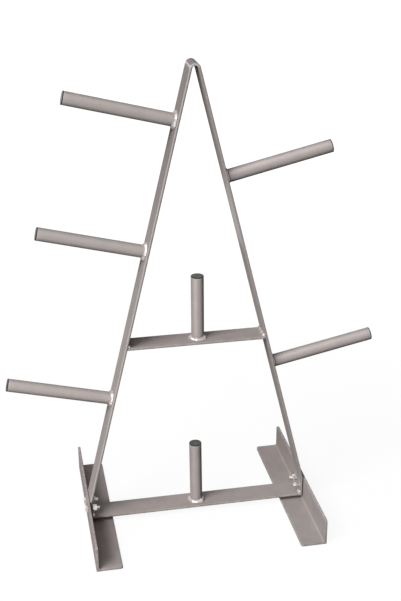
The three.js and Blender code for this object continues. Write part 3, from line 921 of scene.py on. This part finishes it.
def paint_material(name, tint, second_tint, rough, cover, peel, gloss, ior, coated):
    """Satin paint on steel: the sprayed film, rubbed lighter along its edges, which is partly a
    painted highlight, rubbed through to a pale primer where wear is strongest, which also paints
    the brightest highlights, darker where painted shade is given and paler where a painted sheen is
    given. rough is the range of its roughness, cover how readily it wears and takes its painted
    edge highlight, peel the height of its orange peel, gloss its shine on bars, ior how strongly it
    reflects, and coated whether clear gloss lies over it. Its shine fades where it turns away from
    the eye."""
    material, tree, shader = new_material(name)
    film = place_group(material, film_group, Tint=tint, Second_tint=second_tint)
    edge_wear_and_highlight = place_group(material, edge_group, Cover=cover)
    # Where wear is strongest pale primer shows, and it also paints the crease's and bend front's
    # highlights
    to_primer_and_highlight = spread(tree, piece_attribute(tree, "edge"), (primer_and_highlight_from, primer_and_highlight_full))
    under = blend_colour(tree, to_primer_and_highlight, RUBBED_PAINT_AND_HIGHLIGHT, PRIMER_AND_HIGHLIGHT)
    rubbed_and_highlighted = blend_colour(tree, edge_wear_and_highlight.outputs["Mask"], film.outputs["Colour"], under)
    # Painted shade darkens the colour, and a painted sheen, given as negative shade, pales it
    painted_shade_and_sheen = piece_attribute(tree, "painted_shade_and_sheen")
    with_painted_shade = blend_colour(tree, spread(tree, painted_shade_and_sheen, (0.0, 1.0)), rubbed_and_highlighted, PAINTED_SHADE_COLOUR)
    with_painted_sheen = blend_colour(tree, spread(tree, painted_shade_and_sheen, (-1.0, 0.0), (1.0, 0.0)), with_painted_shade, PRIMER_AND_HIGHLIGHT)
    tree.links.new(with_painted_sheen, shader.inputs["Base Color"])
    drawn = piece_attribute(tree, "drawn")
    bars_rough = spread(tree, film.outputs["Matt"], (0.0, 1.0), rough)
    on_tube = spread(tree, drawn, (0.0, 1.0), (1.0, tube_rough_share))
    tree.links.new(calc(tree, "MULTIPLY", bars_rough, on_tube), shader.inputs["Roughness"])
    facing = tree.nodes.new("ShaderNodeLayerWeight")
    facing.inputs["Blend"].default_value = 0.5
    fade = spread(tree, facing.outputs["Facing"], shine_fade, (1.0, 0.0))
    level = spread(tree, drawn, (0.0, 1.0), (gloss, tube_gloss))
    tree.links.new(calc(tree, "MULTIPLY", level, fade), shader.inputs["Specular IOR Level"])
    if coated:
        tree.links.new(fade, shader.inputs["Coat Weight"])
    shader.inputs["IOR"].default_value = ior
    shader.inputs["Specular Tint"].default_value = PAINT_SHINE
    shader.inputs["Coat Roughness"].default_value = 0.28
    raise_surface(tree, shader, film.outputs["Height"], distance=peel, strength=0.6)
    return material


def plastic_material(name):
    """Moulded charcoal plastic: a fine matt grain, a dusty face inside a rim painted dark with
    shade, and faint scuffs on the rim."""
    material, tree, shader = new_material(name)
    place = object_coordinates(tree)
    edge_wear_and_highlight = place_group(material, edge_group, Cover=0.62, Patch_scale=260.0)
    mottle = spread(tree, noise(tree, place, scale=160.0, detail=3.0), (0.3, 0.7))
    dusty = blend_colour(tree, mottle, CAP_FACE, CAP_DUST)
    tone = blend_colour(tree, piece_attribute(tree, "painted_shade_and_sheen"), dusty, CAP_RIM_SHADE)
    scuffed = blend_colour(tree, edge_wear_and_highlight.outputs["Mask"], tone, CAP_SCUFF)
    tree.links.new(scuffed, shader.inputs["Base Color"])
    rough = noise(tree, place, scale=420.0, detail=2.0)
    tree.links.new(spread(tree, rough, (0.3, 0.7), (0.48, 0.62)), shader.inputs["Roughness"])
    shader.inputs["Specular IOR Level"].default_value = 0.12
    grain = tree.nodes.new("ShaderNodeTexVoronoi")
    grain.inputs["Scale"].default_value = 2400.0
    tree.links.new(place, grain.inputs["Vector"])
    raise_surface(tree, shader, grain.outputs["Distance"], distance=0.05 * MM, strength=0.5)
    return material


def zinc_material(name):
    """Bright zinc plate: two warm greys in fine spangles, brighter on rubbed edges."""
    material, tree, shader = new_material(name)
    place = object_coordinates(tree)
    edge_wear_and_highlight = place_group(material, edge_group, Cover=0.6, Patch_scale=400.0)
    spangle = noise(tree, place, scale=240.0, detail=3.0, roughness=0.6)
    spangle = spread(tree, spangle, (0.35, 0.65))
    tone = blend_colour(tree, spangle, ZINC, ZINC_SPANGLE)
    bright = blend_colour(tree, edge_wear_and_highlight.outputs["Mask"], tone, ZINC_BRIGHT)
    tree.links.new(bright, shader.inputs["Base Color"])
    rough = noise(tree, place, scale=700.0, detail=2.0)
    tree.links.new(spread(tree, rough, (0.3, 0.7), (0.24, 0.38)), shader.inputs["Roughness"])
    shader.inputs["Metallic"].default_value = 1.0
    pits = noise(tree, place, scale=1500.0, detail=2.0)
    raise_surface(tree, shader, pits, distance=0.02 * MM, strength=0.4)
    return material


film_group = sprayed_film()
edge_group = rubbed_and_highlighted_edges()
MATERIALS = {
    "grey_paint": paint_material(
        "satin_grey_paint", PAINT, PAINT_DRIFT, rough=(0.48, 0.58), cover=0.57, peel=0.08 * MM,
        gloss=0.24, ior=1.8, coated=False),
    "painted_weld": paint_material(
        "glossy_grey_paint_on_weld", WELD_PAINT, WELD_PAINT_DRIFT, rough=(0.24, 0.34), cover=0.10,
        peel=0.12 * MM, gloss=1.0, ior=2.4, coated=True),
    "cap_plastic": plastic_material("charcoal_cap_plastic"),
    "zinc_plate": zinc_material("bright_zinc_plate"),
}


def peg_set(name, seat, normal_angle, lean_degrees, length, phase, slimmer=0.0):
    """One peg with its weld and its cap, standing on a plane at a seat point."""
    axis_angle = normal_angle + math.radians(lean_degrees)
    peg_tube(f"tube_{name}", f"peg_{name}", seat, normal_angle, axis_angle, length)
    end_cap(f"end_cap_{name}", f"cap_{name}", seat, axis_angle, length)
    peg_weld(f"weld_ring_{name}", f"weld_{name}", seat, normal_angle, phase, slimmer)


a_frame_bar()
for name, top, _, _ in CROSSBARS:
    crossbar(f"{name}_flat_bar", f"{name}_crossbar", top)
for name, side in SIDES:
    angle_foot(f"angle_iron_{name}", f"foot_{name}", side)

for number, (name, side, height_share, droop, slimmer) in enumerate(SIDE_PEGS):
    height = height_share * frame_top
    seat = np.array([side * leg_outer(height), 0.0, height])
    peg_set(name, seat, side * (QUARTER_TURN - leg_tilt), side * droop, side_peg_length,
            side_weld_phase * number, slimmer)

for number, (name, stands_at, offset, length, lean) in enumerate(UPRIGHT_PEGS):
    seat = np.array([offset, 0.0, stands_at])
    peg_set(name, seat, 0.0, lean, length, upright_weld_phase + number)

washer_seat = flange_thickness + bar_thickness + 2 * seat_gap
nut_seat = washer_seat + washer_thickness + seat_gap
bolt_height = (ankle_bottom + ankle_top) / 2
bolt_y = bar_width / 2 - bolt_edge_distance

for side_name, side in SIDES:
    for name, top, weld_leg, phase in CROSSBARS:
        crossbar_weld(f"weld_bead_{name}_{side_name}", f"weld_{name}_crossbar_{side_name}", side,
                      top, weld_leg, phase + side)
    inwards = -side * QUARTER_TURN
    for end_name, end in [("front", -1), ("back", 1)]:
        place = f"{side_name}_{end_name}"
        seat = np.array([side * foot_outer, end * bolt_y, bolt_height])
        turned = side_turn * side + end_turn * end
        under_nut = seat + washer_seat * direction(inwards)
        hex_bolt(f"hex_bolt_{place}", f"bolt_{place}", seat, inwards, turned)
        flat_washer(f"flat_washer_{place}", f"washer_{place}", under_nut, inwards)
        hex_nut(f"hex_nut_{place}", f"nut_{place}", seat + nut_seat * direction(inwards), inwards,
                nut_turns * turned)


# The photograph's view of the tree

camera_place = Vector((-0.346893, -1.925859, 1.314602))
camera_yaw = math.radians(10.746)
camera_pitch = math.radians(23.309)
camera_roll = math.radians(-0.347)
focal_length_in_pixels = 1086.293
image_height_in_pixels = 601
sensor_size = 36.0


def add_camera():
    """A camera turned by yaw to the right, pitch down and roll about its own view. The sensor's
    size spans the image's height, its longer side."""
    lens = bpy.data.cameras.new("photo_camera")
    lens.sensor_width = sensor_size
    lens.lens = focal_length_in_pixels / image_height_in_pixels * sensor_size
    lens.clip_start = 0.05
    lens.clip_end = 100
    camera = bpy.data.objects.new("photo_camera", lens)
    ahead = Vector((math.sin(camera_yaw) * math.cos(camera_pitch),
                    math.cos(camera_yaw) * math.cos(camera_pitch), -math.sin(camera_pitch)))
    level = Vector((math.cos(camera_yaw), -math.sin(camera_yaw), 0))
    upright = level.cross(ahead)
    right = level * math.cos(camera_roll) + upright * math.sin(camera_roll)
    up = upright * math.cos(camera_roll) - level * math.sin(camera_roll)
    turned = Matrix((right, up, -ahead)).transposed().to_4x4()
    camera.matrix_world = Matrix.Translation(camera_place) @ turned
    bpy.context.scene.collection.objects.link(camera)
    bpy.context.scene.camera = camera


# The softboxes: their azimuth, with 0 in front and 90 on the left, their elevation, their distance
# from the tree's middle, their size, and their level, where 1 renders a surface that faces one
# about as its colour is written
SOFTBOXES = [
    ("key_softbox", 58, 44, 16.0, 7.7, 0.76),
    ("front_softbox", 28, 34, 16.0, 7.7, 0.24),
    ("top_softbox", 0, 85, 8.0, 4.0, 0.09),
    ("low_front_softbox", 44, -12, 1.4, 0.5, 0.20),
    ("back_left_softbox", 155, 8, 3.6, 2.0, 0.18),
    ("back_right_softbox", -148, 6, 3.6, 2.0, 0.20),
]

# The world's even light, and the floor: its half side, its drop under the feet, its colour, its
# glow under the tree, and the distances between which that rises to pure white
world_level = 0.02
floor_half_side = 12.0
floor_drop = 0.2 * MM
FLOOR_COLOUR = (0.10, 0.10, 0.10, 1)
near_glow = 0.92
glow_rise = (0.5, 2.6)


def add_softbox(name, azimuth, elevation, distance, size, level):
    """A square softbox that faces the tree's middle, from distance * (-sin(turn) * cos(rise),
    -cos(turn) * cos(rise), sin(rise)) away."""
    lamp = bpy.data.lights.new(name, "AREA")
    lamp.shape = "SQUARE"
    lamp.size = size
    lamp.energy = level * (math.pi * distance) ** 2
    softbox = bpy.data.objects.new(name, lamp)
    turn = math.radians(azimuth)
    rise = math.radians(elevation)
    level_part = math.cos(rise)
    back = Vector((-math.sin(turn) * level_part, -math.cos(turn) * level_part, math.sin(rise)))
    softbox.location = Vector((0, 0, frame_top / 2)) + back * distance
    softbox.rotation_euler = back.to_track_quat("Z", "Y").to_euler()
    bpy.context.scene.collection.objects.link(softbox)


def seen_by_viewer(tree):
    """1 for rays that the viewer sees directly, in a reflection or through glass, 0 for others."""
    light_path = tree.nodes.new("ShaderNodeLightPath")
    direct, glossy = light_path.outputs["Is Camera Ray"], light_path.outputs["Is Glossy Ray"]
    seen = calc(tree, "MAXIMUM", direct, glossy)
    return calc(tree, "MAXIMUM", seen, light_path.outputs["Is Transmission Ray"])


def add_floor():
    """A floor that looks white and keeps the tree's soft shadow. To the viewer it glows a little
    under white near the tree, where the lamps add the rest outside the shadow, and pure white
    further out, where they fall off."""
    half = floor_half_side
    mesh = bpy.data.meshes.new("studio_floor")
    corners = [(-half, -half, 0), (half, -half, 0), (half, half, 0), (-half, half, 0)]
    mesh.from_pydata(corners, [], [(0, 1, 2, 3)])
    material = bpy.data.materials.new("pale_floor")
    material.use_nodes = True
    tree = material.node_tree
    tree.nodes.clear()
    plain = tree.nodes.new("ShaderNodeBsdfDiffuse")
    plain.inputs["Color"].default_value = FLOOR_COLOUR
    glow = tree.nodes.new("ShaderNodeEmission")
    distance = tree.nodes.new("ShaderNodeVectorMath")
    distance.operation = "LENGTH"
    tree.links.new(object_coordinates(tree), distance.inputs[0])
    strength = spread(tree, distance.outputs["Value"], glow_rise, (near_glow, 1.0))
    tree.links.new(calc(tree, "MULTIPLY", seen_by_viewer(tree), strength), glow.inputs["Strength"])
    both = tree.nodes.new("ShaderNodeAddShader")
    tree.links.new(plain.outputs[0], both.inputs[0])
    tree.links.new(glow.outputs[0], both.inputs[1])
    result = tree.nodes.new("ShaderNodeOutputMaterial")
    tree.links.new(both.outputs[0], result.inputs["Surface"])
    mesh.materials.append(material)
    floor = bpy.data.objects.new("studio_floor", mesh)
    floor.location.z = -floor_drop
    bpy.context.scene.collection.objects.link(floor)


def light_world():
    """White where it is seen, and a dim even light elsewhere."""
    world = bpy.data.worlds.new("studio")
    world.use_nodes = True
    tree = world.node_tree
    background = tree.nodes["Background"]
    seen = calc(tree, "MULTIPLY", seen_by_viewer(tree), 1 - world_level)
    tree.links.new(calc(tree, "ADD", seen, world_level), background.inputs["Strength"])
    background.inputs["Color"].default_value = (1, 1, 1, 1)
    bpy.context.scene.world = world


add_camera()
for softbox in SOFTBOXES:
    add_softbox(*softbox)
add_floor()
light_world()
bpy.context.scene.view_settings.view_transform = "Standard"
